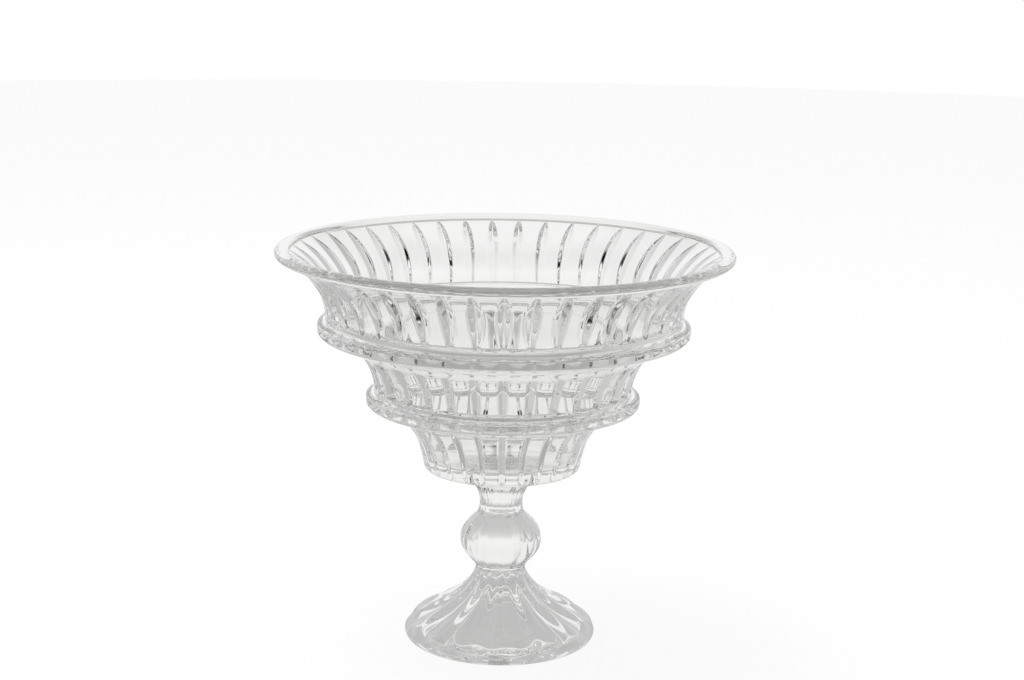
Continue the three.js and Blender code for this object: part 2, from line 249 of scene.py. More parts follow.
class KnopSizes(bpy.types.PropertyGroup):
    """The rounded knop of the stem."""

    radius: length("Radius", "Widest part of the knop", 25.4)
    belt_height: length("Belt height", "Height of the widest part", 18.8)
    seat_radius: length("Seat radius", "The knop's base and the foot's top", 15.4)
    heel: length("Heel", "Height over which it leaves its seat upright", 5)
    lower_swell: length("Lower swell", "Fullness of the curve below the widest part", 10.6)
    upper_swell: length("Upper swell", "Fullness of the curve above it", 9.2)
    shoulder: length("Shoulder", "Reach of the slope against the neck", 3)
    shoulder_drop: length("Shoulder drop", "Fall of that slope", 3.7)
    flute_depth: length("Flute depth", "Deepest part of a flute", 0.5)


class FootSizes(bpy.types.PropertyGroup):
    """The spreading foot."""

    radius: length("Radius", "Outermost reach of the foot", 59.6)
    edge_height: length("Edge height", "Height of the widest part", 4.5)
    edge_round: length("Edge round", "How far the edge is rounded in towards the standing ring", 4.1)
    rest_width: length("Rest width", "Width of that ring", 9)
    hollow_depth: length("Hollow depth", "Depth of the bell-shaped hollow under the foot", 29)
    hollow_crown: length("Hollow crown", "Reach of the hollow's rounded top", 12)
    hollow_flare: length("Hollow flare", "Reach of the hollow's sweep out to the ring", 20)
    hollow_flare_rise: length("Hollow flare rise", "Rise of that sweep", 4)
    swell: length("Swell", "Width of the rounded border of the foot's top", 14.6)
    swell_rise: length("Swell rise", "Height of that border", 14)
    slope: angle("Slope", "Slope where the border turns into the sweep up to the stem", 27)
    edge_lift: length("Edge lift", "Fullness of the curve above the edge", 4.5)
    border_ease: length("Border ease", "Length of slope on the border's side", 8.4)
    sweep_ease: length("Sweep ease", "Length of slope on the stem's side", 13.4)
    top_flare: length("Top flare", "Reach of the last steep stretch below the knop", 3.6)
    top_flare_drop: length("Top flare drop", "Fall of that stretch", 12.7)
    flute_depth: length("Flute depth", "Deepest part of a flute", 2)


class BondSizes(bpy.types.PropertyGroup):
    """The clear films between the glass pieces."""

    bite: length("Bite", "How far a film wets into the glass above and below it", 0.05)
    inset: length("Inset", "How far a film stops short of the narrower face that it joins", 0.15)
    disc: share("Disc", "Reach of the stem's round films, as a share of the face that they join", 0.42)


class CrystalLook(bpy.types.PropertyGroup):
    """The finish of the glass and of its bonds."""

    colour: tint("Crystal", "Tint of the clear glass", (0.985, 0.985, 0.978))
    streak: tint("Streak", "Tint of the faint streaks in it", (0.972, 0.974, 0.966))
    bond: tint("Bond", "Tint of the clear films", (0.985, 0.985, 0.97))
    wave: length("Wave", "Height of the waves that the mould leaves in the surface", 0.03)


class StudioLook(bpy.types.PropertyGroup):
    """The plain studio round the bowl. The brightnesses are what the glass sees: light in the world, and on
    the table a painted glow with the bowl's painted shadow near its foot and painted shade on the left.
    """

    floor: tint("Floor", "Colour of the table", (0.8, 0.8, 0.795))
    floor_glow: share("Floor glow", "How much of the table's white is its own light", 0.93)
    # Painted shadow of the bowl: the table's glow is dimmer under the foot, just behind it and darker still
    # just in front of it
    painted_shadow_under_foot: share("Floor under the foot", "Brightness of the table under the foot", 0.53)
    painted_shadow_near_foot: share("Floor near the foot", "Brightness of the table just behind it", 0.53)
    painted_shadow_before_foot: share("Floor before the foot", "Brightness of the table just in front of it", 0.38)
    floor_back: share("Floor behind", "Brightness of the table behind the bowl", 0.92)
    # Painted shade: the far table's glow is darker on the left than on the right, as if lit from the right
    painted_shade_left: share("Floor at the left", "Brightness of the table to the left", 0.5)
    painted_light_right: share("Floor at the right", "Brightness of the table to the right", 0.62)
    floor_front: share("Floor in front", "Brightness of the table far in front", 0.7)
    sweep: share("Sweep", "Brightness of the white sweep behind the bowl", 0.92)
    wings: share("Wings", "Brightness of the dim panels at the sides", 0.3)
    room_front: share("Room in front", "Brightness of the room on the camera's side", 1.0)
    sweep_top: share("Sweep top", "Brightness of the sweep's upper part", 0.52)
    room_high: share("Room above", "Brightness of the camera's side higher up", 0.0)
    ceiling: share("Ceiling", "Brightness straight above", 0.85)
    distance: length("Camera distance", "From the bowl's axis, along the table", 1223.76)
    eye_height: length("Camera height", "Above the table", 454.44)
    pitch: angle("Camera pitch", "How far the camera looks down", 12.2)
    roll: angle("Camera roll", "Lean of the camera", 0.9)
    focal: FloatProperty(name="Focal length", description="In millimetres", default=71.7)
    shift: FloatProperty(name="Shift", description="Sideways, in picture widths", default=0.008)


# Points of an outline: (radius, height, flute, way), where flute is a share of the flutes' depth and
# way is the direction out of the surface. Both are None on a plain stretch


def lerp(a, b, t):
    """The value at the share t of the way from a to b."""
    return a + (b - a) * t


def curve(start, leave, arrive, end, rows):
    """A cubic curve through the half plane of radius and height."""
    points = []
    for i in range(rows + 1):
        t = i / rows
        weights = ((1 - t) ** 3, 3 * t * (1 - t) ** 2, 3 * t * t * (1 - t), t**3)
        ends = (start, leave, arrive, end)
        points.append(tuple(sum(w * p[k] for w, p in zip(weights, ends)) for k in (0, 1)))
    return points


def arc(centre, reach, rise, start, end, rows):
    """Part of an ellipse, its angles in degrees."""
    points = []
    for i in range(rows + 1):
        a = math.radians(lerp(start, end, i / rows))
        points.append((centre[0] + reach * math.cos(a), centre[1] + rise * math.sin(a)))
    return points


def line(start, end, rows):
    """A straight stretch."""
    return [tuple(lerp(a, b, i / rows) for a, b in zip(start, end)) for i in range(rows + 1)]


def ways_out(points):
    """The direction out of the surface at each point."""
    ways = []
    for i in range(len(points)):
        before, after = points[max(i - 1, 0)], points[min(i + 1, len(points) - 1)]
        run = math.dist(before, after)
        ways.append(((after[1] - before[1]) / run, (before[0] - after[0]) / run))
    return ways


def fluted(points, fade):
    """Marks points with their share of the flutes' depth, which fades out at both ends, and the way out."""
    last = len(points) - 1
    shares = [max(0.0, math.sin(math.pi * i / last)) ** fade for i in range(last + 1)]
    return [(*p, flute, way) for p, flute, way in zip(points, shares, ways_out(points))]


def grooved(points, sizes, flutes):
    """Marks a wall's points with their share of a groove, from its base up to its pointed top."""
    runs = [0.0]
    for before, after in zip(points, points[1:]):
        runs.append(runs[-1] + math.dist(before, after))
    marked = []
    for p, run, way in zip(points, runs, ways_out(points)):
        up = run / runs[-1]
        left = min(1.0, max(0.0, (sizes.groove_reach - up) / sizes.groove_point))
        rise = math.sin(math.pi / 2 * min(1.0, up / sizes.groove_heel))
        flute = math.sin(math.pi / 2 * left) ** flutes.point_fade * lerp(sizes.groove_base, 1.0, rise)
        marked.append((*p, flute, way if run else (1.0, 0.0)))
    return marked


def outline(*runs):
    """Joins runs of points into one outline, each shared end once."""
    joined = []
    for p in (p for run in runs for p in run):
        p = p if len(p) == 4 else (*p, None, None)
        if joined and math.dist(joined[-1][:2], p[:2]) < WELD:
            if p[2] is not None:
                joined[-1] = p
        else:
            joined.append(p)
    return joined


# Cross-sections: one row's (angle, depth) pairs over one flute


def groove_share(s):
    """Depth of a groove at s half widths from its middle, as a share of its greatest depth."""
    s = abs(s)
    if s < GROOVE_FLOOR_ROUND:
        return 1 - GROOVE_FLOOR_ROUND / 2 - s * s / (2 * GROOVE_FLOOR_ROUND)
    if s < 1 - GROOVE_EDGE_ROUND:
        return 1 - s
    return max(0.0, 1 + GROOVE_EDGE_ROUND - s) ** 2 / (4 * GROOVE_EDGE_ROUND)


def grooved_row(sizes):
    """Rows of a surface cut by upright grooves, with panels between them that swell a little."""
    half_pitch = math.pi / sizes.flutes
    steps = [-s for s in reversed(GROOVE_COLUMNS[1:])] + list(GROOVE_COLUMNS)

    def row(radius, flute):
        """The columns of one row, from the middle of a panel to the middle of the next."""
        cut = flute or 0.0
        half = sizes.groove_width / 2 / radius
        reach = max(GROOVE_TIP, cut) * half
        edge = reach * GROOVE_COLUMNS[-1]
        panel = [lerp(edge, half_pitch, i / PANEL_COLUMNS) for i in range(1, PANEL_COLUMNS + 1)]

        def sag(turn):
            """How far the panel lies below the plain wall."""
            return cut * (sizes.recess + sizes.bulge * (1 - abs(turn) / half_pitch) ** 2)

        places = [(-a, sag(a)) for a in reversed(panel)]
        for s in steps:
            true = s * reach / max(cut * half, WELD)
            places.append((s * reach, cut * sizes.groove_depth * groove_share(true) + sag(s * reach)))
        return places + [(a, sag(a)) for a in panel]

    return row


def panelled_row(flutes, depth):
    """Rows of a surface with soft wide flutes between soft ridges. A flute's middle is at angle 0."""
    half_pitch = math.pi / flutes

    def row(radius, flute):
        """The columns of one row, from ridge to ridge."""
        cut = flute or 0.0
        places = []
        for i in range(FLUTE_COLUMNS + 1):
            u = 2 * i / FLUTE_COLUMNS - 1
            places.append((u * half_pitch, cut * depth * (1 + math.cos(math.pi * u)) / 2))
        return places

    return row


def sector_mesh(name, points, row, base):
    """One flute's width of a turned surface. The outline runs counter-clockwise, the axis on its left."""
    vertices, rings, faces = [], [], []
    for radius, height, flute, way in points:
        places = row(radius, flute) if radius > WELD else [(0.0, 0.0)]
        out, up = way or (1.0, 0.0)
        ring = []
        for turn, depth in places:
            ring.append(len(vertices))
            reach = radius - out * depth
            vertices.append((reach * math.sin(turn), -reach * math.cos(turn), base + height - up * depth))
        rings.append(ring)
    closed = points[0][0] > WELD
    pairs = list(zip(rings, rings[1:])) + ([(rings[-1], rings[0])] if closed else [])
    for low, high in pairs:
        for j in range(max(len(low), len(high)) - 1):
            a, b = (low[j], low[j + 1]) if len(low) > 1 else (low[0], None)
            d, c = (high[j], high[j + 1]) if len(high) > 1 else (high[0], None)
            faces.append([v for v in (a, b, c, d) if v is not None])
    mesh = bpy.data.meshes.new(name)
    mesh.from_pydata(vertices, [], faces)
    return mesh


def flute_tree():
    """Geometry nodes that turn one flute's sector into the whole ring."""
    tree = bpy.data.node_groups.get("flutes_round_axis")
    if tree:
        return tree
    tree = bpy.data.node_groups.new("flutes_round_axis", "GeometryNodeTree")
    face = tree.interface
    face.new_socket("Geometry", in_out="INPUT", socket_type="NodeSocketGeometry")
    face.new_socket("Flutes", in_out="INPUT", socket_type="NodeSocketInt")
    face.new_socket("Turn", in_out="INPUT", socket_type="NodeSocketFloat")
    face.new_socket("Weld", in_out="INPUT", socket_type="NodeSocketFloat")
    face.new_socket("Glass", in_out="INPUT", socket_type="NodeSocketMaterial")
    face.new_socket("Geometry", in_out="OUTPUT", socket_type="NodeSocketGeometry")
    add, link = tree.nodes.new, tree.links.new
    given, made = add("NodeGroupInput"), add("NodeGroupOutput")
    points = add("GeometryNodePoints")
    link(given.outputs["Flutes"], points.inputs["Count"])
    pitch = add("ShaderNodeMath")
    pitch.operation = "DIVIDE"
    pitch.inputs[0].default_value = math.tau
    link(given.outputs["Flutes"], pitch.inputs[1])
    turn = add("ShaderNodeMath")
    turn.operation = "MULTIPLY_ADD"
    link(add("GeometryNodeInputIndex").outputs[0], turn.inputs[0])
    link(pitch.outputs[0], turn.inputs[1])
    link(given.outputs["Turn"], turn.inputs[2])
    axis = add("ShaderNodeCombineXYZ")
    link(turn.outputs[0], axis.inputs["Z"])
    copies = add("GeometryNodeInstanceOnPoints")
    link(points.outputs[0], copies.inputs["Points"])
    link(given.outputs["Geometry"], copies.inputs["Instance"])
    link(axis.outputs[0], copies.inputs["Rotation"])
    real = add("GeometryNodeRealizeInstances")
    link(copies.outputs[0], real.inputs[0])
    welded = add("GeometryNodeMergeByDistance")
    link(real.outputs[0], welded.inputs["Geometry"])
    link(given.outputs["Weld"], welded.inputs["Distance"])
    glass = add("GeometryNodeSetMaterial")
    link(welded.outputs[0], glass.inputs["Geometry"])
    link(given.outputs["Glass"], glass.inputs["Material"])
    link(glass.outputs[0], made.inputs[0])
    return tree


def turned_piece(name, sector, copies, turn, material):
    """Repeats a sector round the axis as one plain mesh with crisp corners."""
    piece = bpy.data.objects.new(name, sector)
    bpy.context.scene.collection.objects.link(piece)
    modifier = piece.modifiers.new("round_axis", "NODES")
    modifier.node_group = flute_tree()
    values = {"Flutes": copies, "Turn": turn, "Weld": WELD, "Glass": material}
    for socket in modifier.node_group.interface.items_tree:
        if socket.in_out == "INPUT" and socket.name in values:
            modifier[socket.identifier] = values[socket.name]
    piece.update_tag()
    graph = bpy.context.evaluated_depsgraph_get()
    graph.update()
    mesh = bpy.data.meshes.new_from_object(piece.evaluated_get(graph))
    piece.modifiers.remove(modifier)
    piece.data = mesh
    mesh.name = piece.name
    bpy.data.meshes.remove(sector)
    mesh.polygons.foreach_set("use_smooth", [True] * len(mesh.polygons))
    mesh.set_sharp_from_angle(angle=SHARP_ANGLE)
    mesh.update()
    return piece


def glass_piece(node, points, row, flutes, turn=0.0):
    """Makes the glass piece that stands for a node from its outline."""
    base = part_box(node)[0][2]
    sector = sector_mesh(node + "_flute", points, row, base)
    piece = turned_piece(node + "_glass", sector, flutes, turn, crystal_material())
    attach(piece, "root")
    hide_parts(node)


def node_height(node):
    """Height of a node's solid."""
    low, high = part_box(node)
    return high[2] - low[2]


# Materials


class ClearMaterial:
    """A clear material whose tint wanders between two colours."""

    def __init__(self, name, scale, first, second):
        self.material = bpy.data.materials.new(name)
        self.material.use_nodes = True
        self.nodes, self.links = self.material.node_tree.nodes, self.material.node_tree.links
        self.shader = self.nodes["Principled BSDF"]
        self.place = self.nodes.new("ShaderNodeTexCoord").outputs["Object"]
        self.pattern = self.noise(scale, TINT_DETAIL)
        tints = self.nodes.new("ShaderNodeMix")
        tints.data_type = "RGBA"
        tints.inputs["A"].default_value = (*first, 1)
        tints.inputs["B"].default_value = (*second, 1)
        self.links.new(self.pattern, tints.inputs["Factor"])
        self.links.new(tints.outputs["Result"], self.shader.inputs["Base Color"])
        self.shader.inputs["Transmission Weight"].default_value = 1
        self.shader.inputs["IOR"].default_value = GLASS_INDEX

    def noise(self, scale, detail):
        """A soft pattern fixed to the piece."""
        noise = self.nodes.new("ShaderNodeTexNoise")
        noise.inputs["Scale"].default_value = scale
        noise.inputs["Detail"].default_value = detail
        self.links.new(self.place, noise.inputs["Vector"])
        return noise.outputs["Fac"]


def crystal_material():
    """Clear pressed crystal: faint streaks of tint and the slow waves that the mould leaves."""
    made = bpy.data.materials.get("pressed_crystal")
    if made:
        return made
    look = bpy.context.scene.bowl_crystal
    crystal = ClearMaterial("pressed_crystal", STREAK_SCALE, look.colour, look.streak)
    bump = crystal.nodes.new("ShaderNodeBump")
    bump.inputs["Strength"].default_value = 1
    bump.inputs["Distance"].default_value = look.wave
    crystal.links.new(crystal.noise(WAVE_SCALE, WAVE_DETAIL), bump.inputs["Height"])
    crystal.links.new(bump.outputs["Normal"], crystal.shader.inputs["Normal"])
    polish = crystal.nodes.new("ShaderNodeMapRange")
    polish.inputs["To Min"].default_value = 0.0
    polish.inputs["To Max"].default_value = DULLEST_POLISH
    crystal.links.new(crystal.pattern, polish.inputs["Value"])
    crystal.links.new(polish.outputs["Result"], crystal.shader.inputs["Roughness"])
    return crystal.material


def bond_material():
    """Clear cured adhesive, as bright as the glass beside it."""
    made = bpy.data.materials.get("clear_bond")
    if made:
        return made
    look = bpy.context.scene.bowl_crystal
    bond = ClearMaterial("clear_bond", MOTTLE_SCALE, look.colour, look.bond)
    bond.shader.inputs["Roughness"].default_value = 0
    return bond.material


# Pieces


def wall_runs(sizes, edge, under, mouth, inner_base, rows):
    """A tier's wall: its outside, from the edge that it starts with, and its inside back down."""
    base = edge[-1]
    leave = (base[0] + sizes.lean, base[1] + sizes.rise)
    arrive = (under[0] - sizes.sweep, under[1] - sizes.sweep_drop)
    climb = curve(base, leave, arrive, under, rows)
    outside = grooved(climb, sizes, bpy.context.scene.bowl_flutes)
    cut = [max(0.0, sizes.groove_base - (base[0] - p[0]) / sizes.groove_depth) for p in edge]
    outside = [(*p, flute, (1.0, 0.0)) for p, flute in zip(edge[:-1], cut)] + outside
    inner_arrive = (arrive[0] - sizes.wall, arrive[1])
    inner_leave = (leave[0] - sizes.wall, leave[1])
    return outside, curve(mouth, inner_arrive, inner_leave, inner_base, INNER_ROWS)


def lip_run(height, sizes, seat_radius, seat_wall):
    """A lip: rounded corner, upright band, shoulder and the flat ledge on top, down to the mouth."""
    lip = bpy.context.scene.bowl_lip
    reach = seat_radius + sizes.lip_proud
    underside = height - sizes.lip_height
    band = underside + lip.corner_rise
    shoulder = band + lip.band
    mouth = seat_radius - seat_wall - sizes.ledge
    under = (reach - lip.corner - lip.cove, underside)
    corner = arc((reach - lip.corner, band), lip.corner, lip.corner_rise, -90, 0, CORNER_ROWS)
    top = arc((seat_radius, shoulder), sizes.lip_proud, lip.shoulder, 0, 90, CORNER_ROWS)
    top += line(top[-1], (seat_radius, height), FLAT_ROWS)
    centre = (mouth + lip.mouth_round, height - lip.mouth_round)
    turn = arc(centre, lip.mouth_round, lip.mouth_round, 90, 180, CORNER_ROWS)
    run = line(under, corner[0], FLAT_ROWS) + corner + top + line(top[-1], turn[0], FLAT_ROWS) + turn
    return under, turn[-1], run


class BOWL_OT_upper_tier(bpy.types.Operator):
    """Makes the fluted upper tier with its rolled rim"""

    bl_idname = "bowl.upper_tier"
    bl_label = "Upper tier"

    def execute(self, context):
        sizes = context.scene.bowl_upper
        height = node_height("upper_tier")
        rim_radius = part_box("upper_tier")[1][0]
        centre = (rim_radius - sizes.roll, height - sizes.roll_rise)
        rim = arc(centre, sizes.roll, sizes.roll_rise, math.degrees(sizes.roll_start), 180, ROLL_ROWS)
        inner = (sizes.base_radius - sizes.wall, 0)
        edge = [(sizes.base_radius, 0)]
        outside, inside = wall_runs(sizes, edge, rim[0], rim[-1], inner, WALL_ROWS)
        points = outline(outside, rim, inside)
        glass_piece("upper_tier", points, grooved_row(sizes), sizes.flutes)
        return {"FINISHED"}


class BOWL_OT_middle_tier(bpy.types.Operator):
    """Makes the fluted middle tier with its lip"""

    bl_idname = "bowl.middle_tier"
    bl_label = "Middle tier"

    def execute(self, context):
        sizes, above = context.scene.bowl_middle, context.scene.bowl_upper
        under, mouth, lip = lip_run(node_height("middle_tier"), sizes, above.base_radius, above.wall)
        inner = (sizes.base_radius - sizes.wall, 0)
        edge = [(sizes.base_radius, 0)]
        outside, inside = wall_runs(sizes, edge, under, mouth, inner, LIPPED_ROWS)
        points = outline(outside, lip, inside)
        glass_piece("middle_tier", points, grooved_row(sizes), sizes.flutes)
        return {"FINISHED"}


class BOWL_OT_lower_cup(bpy.types.Operator):
    """Makes the fluted lower cup with the bowl's floor"""

    bl_idname = "bowl.lower_cup"
    bl_label = "Lower cup"

    def execute(self, context):
        sizes, above = context.scene.bowl_cup, context.scene.bowl_middle
        under, mouth, lip = lip_run(node_height("lower_cup"), sizes, above.base_radius, above.wall)
        base_round, floor_round = sizes.base_round, sizes.floor_round
        base_centre = (sizes.base_radius - base_round, base_round)
        base = arc(base_centre, base_round, base_round, -90, 0, CORNER_ROWS)
        floor_radius = sizes.base_radius - sizes.wall
        floor_centre = (floor_radius - floor_round, sizes.floor + floor_round)
        turn = arc(floor_centre, floor_round, floor_round, 0, -90, CORNER_ROWS)
        outside, inside = wall_runs(sizes, base, under, mouth, turn[0], LIPPED_ROWS)
        underside = line((0, 0), base[0], FLAT_ROWS)
        floor = line(turn[-1], (0, sizes.floor), FLAT_ROWS)
        points = outline(underside, outside, lip, inside, turn, floor)
        glass_piece("lower_cup", points, grooved_row(sizes), sizes.flutes)
        return {"FINISHED"}


def stem_piece(context, node, points, flute_depth):
    """A piece of the stem: a flute's middle lies half a flute from the ridge that stem_turn gives."""
    flutes = context.scene.bowl_flutes
    turn = flutes.stem_turn + math.pi / flutes.stem_flutes
    glass_piece(node, points, panelled_row(flutes.stem_flutes, flute_depth), flutes.stem_flutes, turn)


class BOWL_OT_neck(bpy.types.Operator):
    """Makes the neck"""

    bl_idname = "bowl.neck"
    bl_label = "Neck"

    def execute(self, context):
        sizes, fade = context.scene.bowl_neck, context.scene.bowl_flutes.fade
        height = node_height("neck")
        side = curve(
            (sizes.seat_radius, 0),
            (sizes.seat_radius - sizes.waist, sizes.waist_height),
            (sizes.top_radius - sizes.spread, height - sizes.spread_drop),
            (sizes.top_radius, height),
            2 * STEM_ROWS,
        )
        under = line((0, 0), side[0], FLAT_ROWS)
        top = line(side[-1], (0, height), FLAT_ROWS)
        stem_piece(context, "neck", outline(under, fluted(side, fade), top), sizes.flute_depth)
        return {"FINISHED"}


class BOWL_OT_knop(bpy.types.Operator):
    """Makes the rounded knop"""

    bl_idname = "bowl.knop"
    bl_label = "Knop"

    def execute(self, context):
        sizes, neck, fade = context.scene.bowl_knop, context.scene.bowl_neck, context.scene.bowl_flutes.fade
        height = node_height("knop")
        belt = (sizes.radius, sizes.belt_height)
        lower = curve(
            (sizes.seat_radius, 0),
            (sizes.seat_radius, sizes.heel),
            (sizes.radius, sizes.belt_height - sizes.lower_swell),
            belt,
            STEM_ROWS,
        )
        upper = curve(
            belt,
            (sizes.radius, sizes.belt_height + sizes.upper_swell),
            (neck.seat_radius + sizes.shoulder, height - sizes.shoulder_drop),
            (neck.seat_radius, height),
            STEM_ROWS,
        )
        under = line((0, 0), lower[0], FLAT_ROWS)
        top = line(upper[-1], (0, height), FLAT_ROWS)
        stem_piece(context, "knop", outline(under, fluted(lower + upper[1:], fade), top), sizes.flute_depth)
        return {"FINISHED"}


class BOWL_OT_foot(bpy.types.Operator):
    """Makes the spreading foot"""

    bl_idname = "bowl.foot"
    bl_label = "Foot"

    def execute(self, context):
        sizes, fade = context.scene.bowl_foot, context.scene.bowl_flutes.fade
        seat = context.scene.bowl_knop.seat_radius
        height = node_height("foot")
        rest = sizes.radius - sizes.edge_round
        hollow_radius = rest - sizes.rest_width
        edge = (sizes.radius, sizes.edge_height)
        slope = (sizes.radius - sizes.swell, sizes.edge_height + sizes.swell_rise)
        down = (math.cos(sizes.slope), -math.sin(sizes.slope))
        border = curve(
            edge,
            (sizes.radius, sizes.edge_height + sizes.edge_lift),
            tuple(p + d * sizes.border_ease for p, d in zip(slope, down)),
            slope,
            STEM_ROWS,
        )
        sweep = curve(
            slope,
            tuple(p - d * sizes.sweep_ease for p, d in zip(slope, down)),
            (seat + sizes.top_flare, height - sizes.top_flare_drop),
            (seat, height),
            STEM_ROWS,
        )
        hollow = curve(
            (0, sizes.hollow_depth),
            (sizes.hollow_crown, sizes.hollow_depth),
            (hollow_radius - sizes.hollow_flare, sizes.hollow_flare_rise),
            (hollow_radius, 0),
            STEM_ROWS,
        )
        turn = arc((rest, sizes.edge_height), sizes.edge_round, sizes.edge_height, -90, 0, CORNER_ROWS)
        ring = line(hollow[-1], turn[0], FLAT_ROWS)
        top = line(sweep[-1], (0, height), FLAT_ROWS)
        points = outline(hollow, ring, turn, fluted(border + sweep[1:], fade), top)
        stem_piece(context, "foot", points, sizes.flute_depth)
        return {"FINISHED"}


class BOWL_OT_bonds(bpy.types.Operator):
    """Makes the clear films between the glass pieces"""

    bl_idname = "bowl.bonds"
    bl_label = "Bonds"

    def execute(self, context):
        scene = context.scene
        disc = scene.bowl_bonds.disc
        seats = {
            "foot_bond": (0, scene.bowl_knop.seat_radius * disc),
            "knop_bond": (0, scene.bowl_neck.seat_radius * disc),
            "cup_bond": (0, scene.bowl_neck.top_radius * disc),
        }
        for node, tier in (("middle_bond", scene.bowl_middle), ("upper_bond", scene.bowl_upper)):
            groove = tier.groove_depth + tier.bulge + tier.recess
            seats[node] = (tier.base_radius - tier.wall, tier.base_radius - groove)
        for node, (inner, outer) in seats.items():
            self.film(node, inner, outer, scene.bowl_bonds)
        return {"FINISHED"}

    def film(self, node, inner, outer, sizes):
        """One film: a disc or a ring with rounded edges that wets the glass above and below."""
        low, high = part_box(node)
        bottom, top = low[2] - sizes.bite, high[2] + sizes.bite
        half = (top - bottom) / 2
        outer -= sizes.inset + half
        points = arc((outer, half), half, half, -90, 90, CORNER_ROWS)
        if inner:
            inner += sizes.inset + half
            points += arc((inner, half), half, half, 90, 270, CORNER_ROWS)
        else:
            points = [(0, 0), *points, (0, 2 * half)]

        def row(radius, flute):
            """One straight side."""
            step = math.pi / FILM_SIDES
            return [(-step, 0.0), (step, 0.0)]

        sector = sector_mesh(node + "_slice", outline(points), row, bottom)
        film = turned_piece(node + "_film", sector, FILM_SIDES, 0.0, bond_material())
        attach(film, "root")
        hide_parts(node)


# Stage


class NodeMaker:
    """Adds plain maths nodes to a shader tree."""

    def __init__(self, tree):
        self.nodes, self.links = tree.nodes, tree.links
        self.nodes.clear()

    def add(self, kind):
        """A new node of the given kind."""
        return self.nodes.new(kind)

    def feed(self, socket, value):
        """Sets a socket from a number or another socket."""
        if isinstance(value, (int, float)):
            socket.default_value = value
        else:
            self.links.new(value, socket)

    def maths(self, operation, *values):
        """The result of a sum."""
        node = self.add("ShaderNodeMath")
        node.operation = operation
        for socket, value in zip(node.inputs, values):
            self.feed(socket, value)
        return node.outputs[0]

    def mix(self, factor, low, high):
        """A value between low and high."""
        node = self.add("ShaderNodeMix")
        node.data_type = "FLOAT"
        for name, value in (("Factor", factor), ("A", low), ("B", high)):
            self.feed(node.inputs[name], value)
        return node.outputs["Result"]

    def smooth(self, value, low, high):
        """Climbs from 0 to 1 as the value goes from low to high."""
        node = self.add("ShaderNodeMapRange")
        node.interpolation_type = "SMOOTHSTEP"
        for name, given in (("Value", value), ("From Min", low), ("From Max", high)):
            self.feed(node.inputs[name], given)
        return node.outputs["Result"]

    def turned(self, value, low, high):
        """The same for an angle in radians, with its limits in degrees."""
        return self.smooth(value, math.radians(low), math.radians(high))

    def place(self, output):
        """The parts of a texture coordinate."""
        split = self.add("ShaderNodeSeparateXYZ")
        self.links.new(self.add("ShaderNodeTexCoord").outputs[output], split.inputs[0])
        return split.outputs


def floor_material(look):
    """White to the camera, with a faint shadow from the softbox. The glass sees only its glow, painted
    light: painted shadow near the foot, painted shade on the left, dimmer at the sides.
    """
    material = bpy.data.materials.new("pale_table")
    material.use_nodes = True
    make = NodeMaker(material.node_tree)
    x, y, _ = make.place("Object")
    squares = [make.maths("MULTIPLY", side, side) for side in (x, y)]
    reach = make.maths("SQRT", make.maths("ADD", *squares))
    turn = make.maths("ARCTAN2", make.maths("ABSOLUTE", x), y)
    # The glass sees the table by its glow alone: painted shadow of the bowl under, behind and in front of
    # the foot, painted shade on the left, dimmer at the sides and front
    near = make.mix(make.turned(turn, *FORE_SHADOW_TURN), look.painted_shadow_near_foot, look.painted_shadow_before_foot)
    near = make.mix(make.smooth(reach, *UNDER_SHADOW_EDGE), look.painted_shadow_under_foot, near)
    side = make.mix(make.smooth(x, *SIDE_SHADE_EDGE), look.painted_shade_left, look.painted_light_right)
    far = make.mix(make.turned(turn, *BACK_TURN), look.floor_back, side)
    far = make.mix(make.turned(turn, *FRONT_TURN), far, look.floor_front)
    painted_table_glow = make.mix(make.smooth(reach, *NEAR_SHADOW_EDGE), near, far)
    path = make.add("ShaderNodeLightPath").outputs
    level = make.mix(path["Is Camera Ray"], painted_table_glow, 1.0)
    lit = make.mix(path["Is Camera Ray"], 1.0, look.floor_glow)
    table = make.add("ShaderNodeBsdfDiffuse")
    table.inputs["Color"].default_value = (*look.floor, 1)
    glow = make.add("ShaderNodeEmission")
    make.feed(glow.inputs["Strength"], level)
    both = make.add("ShaderNodeMixShader")
    make.feed(both.inputs[0], lit)
    make.feed(both.inputs[1], table.outputs[0])
    make.feed(both.inputs[2], glow.outputs[0])
    make.feed(make.add("ShaderNodeOutputMaterial").inputs["Surface"], both.outputs[0])
    return material


def studio_world(look):
    """White to the camera. The glass sees a pale sweep, dim wings and a front room, dark high up."""
    world = bpy.data.worlds.new("studio")
    bpy.context.scene.world = world
    world.use_nodes = True
    make = NodeMaker(world.node_tree)
    x, y, z = make.place("Generated")
    turn = make.maths("ARCTAN2", make.maths("ABSOLUTE", x), y)
    rise = make.maths("ARCSINE", z)
    low = make.mix(make.turned(turn, *SWEEP_TURN), look.sweep, look.wings)
    low = make.mix(make.turned(turn, *ROOM_TURN), low, look.room_front)
    high = make.mix(make.turned(turn, *HIGH_TURN), look.sweep_top, look.room_high)
    level = make.mix(make.turned(rise, *HIGH_RISE), low, high)
    level = make.mix(make.turned(rise, *CEILING_RISE), level, look.ceiling)
    path = make.add("ShaderNodeLightPath").outputs
    back = make.add("ShaderNodeBackground")
    back.inputs["Color"].default_value = (1, 1, 1, 1)
    make.feed(back.inputs["Strength"], make.mix(path["Is Camera Ray"], level, 1.0))
    make.feed(make.add("ShaderNodeOutputWorld").inputs["Surface"], back.outputs[0])


